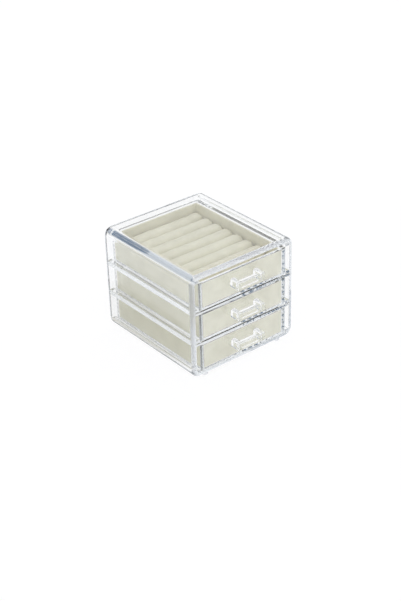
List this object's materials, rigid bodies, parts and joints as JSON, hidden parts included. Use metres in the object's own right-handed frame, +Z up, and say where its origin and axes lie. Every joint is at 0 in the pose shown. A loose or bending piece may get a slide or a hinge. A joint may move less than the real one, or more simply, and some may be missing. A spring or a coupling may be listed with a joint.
{
  "type": "clear jewelry organizer with three drawers",
  "caption": "Clear acrylic jewelry organizer: a rounded case on small feet, with sliding clear drawers that hold velvet trays, the top one filled with ring rolls.",
  "frame": {"origin": "on the table, under the middle of the overall footprint with the handles", "axes": "+X to the right and +Y to the back, as seen from the drawer fronts; +Z up. The drawers open towards -Y."},
  "size_m": [0.138, 0.163, 0.1225],
  "materials": {
    "clear_acrylic": "clear, polished",
    "clear_foot": "clear, soft",
    "velvet": "short beige velvet",
    "card": "velvet-covered card"
  },
  "bodies": {
    "case": {"back_left_foot": "clear_foot", "back_panel": "clear_acrylic", "back_right_foot": "clear_foot", "case_shell": "clear_acrylic", "front_left_foot": "clear_foot", "front_right_foot": "clear_foot", "left_floor_guide": "clear_acrylic", "lower_shelf": "clear_acrylic", "right_floor_guide": "clear_acrylic", "top_frame": "clear_acrylic", "upper_shelf": "clear_acrylic"},
    "top_drawer": {"ring_roll_1": "velvet", "ring_roll_2": "velvet", "ring_roll_3": "velvet", "ring_roll_4": "velvet", "ring_roll_5": "velvet", "ring_roll_6": "velvet", "ring_roll_7": "velvet", "ring_roll_8": "velvet", "roll_base_card": "card", "top_drawer_box": "clear_acrylic", "top_handle": "clear_acrylic", "top_velvet_tray": "velvet"},
    "middle_drawer": {"middle_cross_divider_1": "velvet", "middle_cross_divider_2": "velvet", "middle_drawer_box": "clear_acrylic", "middle_handle": "clear_acrylic", "middle_long_divider_1": "velvet", "middle_long_divider_2": "velvet", "middle_velvet_tray": "velvet"},
    "bottom_drawer": {"bottom_divider": "velvet", "bottom_drawer_box": "clear_acrylic", "bottom_handle": "clear_acrylic", "bottom_velvet_tray": "velvet"}
  },
  "joints": [
    {"name": "top_drawer_slide", "type": "slide", "parent": "case", "child": "top_drawer", "axis": [0, -1, 0], "range_m": [0, 0.11]},
    {"name": "middle_drawer_slide", "type": "slide", "parent": "case", "child": "middle_drawer", "axis": [0, -1, 0], "range_m": [0, 0.11]},
    {"name": "bottom_drawer_slide", "type": "slide", "parent": "case", "child": "bottom_drawer", "axis": [0, -1, 0], "range_m": [0, 0.11]}
  ]
}
